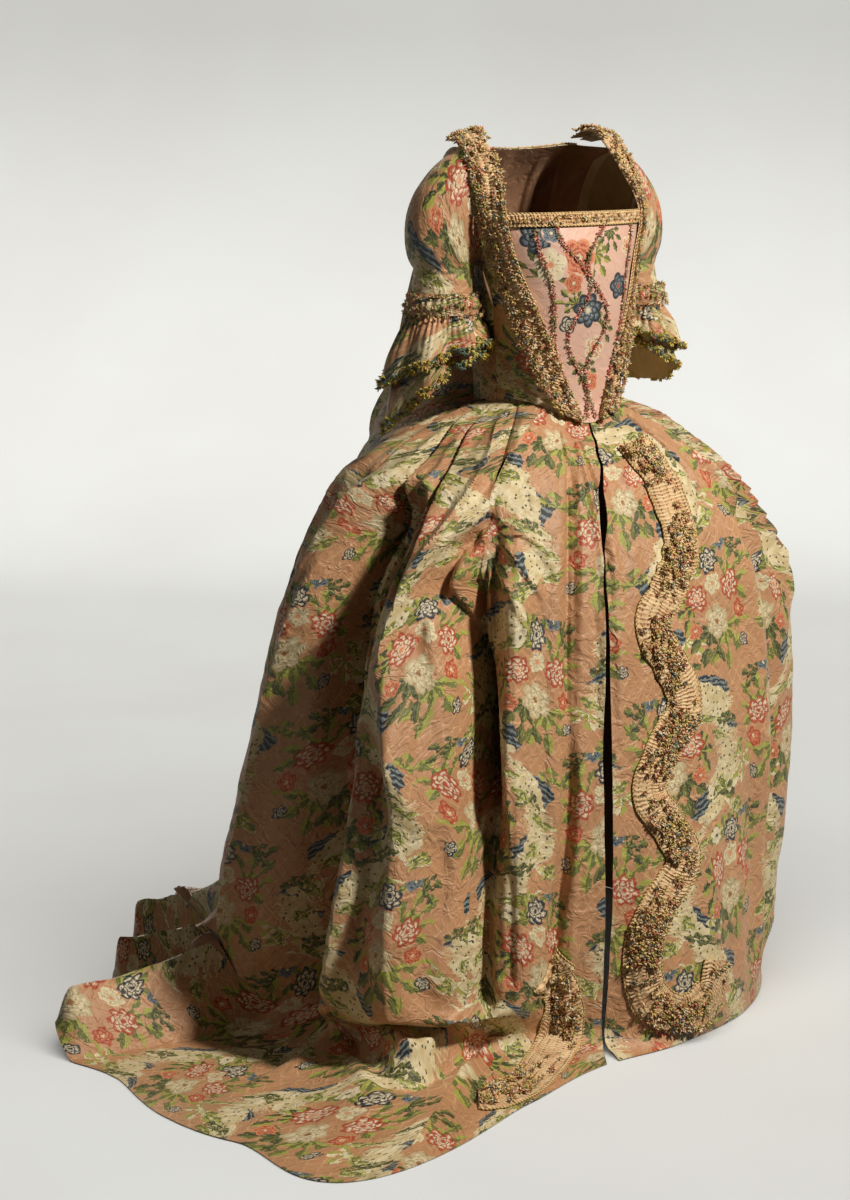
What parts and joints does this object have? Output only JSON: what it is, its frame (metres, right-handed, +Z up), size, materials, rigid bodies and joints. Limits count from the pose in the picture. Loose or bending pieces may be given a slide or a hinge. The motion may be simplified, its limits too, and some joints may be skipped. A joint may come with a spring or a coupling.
{
  "type": "robe à la française",
  "caption": "Sack-back court gown with stomacher, robings, flounced elbow sleeves, serpentine trims and an open-fronted skirt drawn up over the hips into a trained hem",
  "frame": {"origin": "the middle of the line between the wearer's two shoulders, where the gown hangs from them, 1.365 m above the floor that its hem rests on", "axes": "+Z is up, -Y is the wearer's front and +X is the wearer's left"},
  "size_m": [1.2425, 1.3206, 1.3623],
  "materials": {
    "brocade": "satin",
    "stomacher_silk": "satin",
    "trimming": "satin",
    "fly_fringe": "matte"
  },
  "bodies": {
    "root": {"back_neck_band": "trimming", "cuff_ruche_left": "trimming", "cuff_ruche_right": "trimming", "flounce_lower_left": "brocade", "flounce_lower_right": "brocade", "flounce_upper_left": "brocade", "flounce_upper_right": "brocade", "fringe_lower_left": "fly_fringe", "fringe_lower_right": "fly_fringe", "fringe_upper_left": "fly_fringe", "fringe_upper_right": "fly_fringe", "front_left": "brocade", "front_right": "brocade", "neck_ruche": "trimming", "robing_left": "brocade", "robing_right": "brocade", "sack_back": "brocade", "side_left": "brocade", "side_right": "brocade", "skirt_front_left": "brocade", "skirt_front_right": "brocade", "skirt_side_left": "brocade", "skirt_side_right": "brocade", "sleeve_left": "brocade", "sleeve_right": "brocade", "stomacher": "stomacher_silk", "trim_left": "trimming", "trim_right": "trimming"}
  },
  "joints": []
}
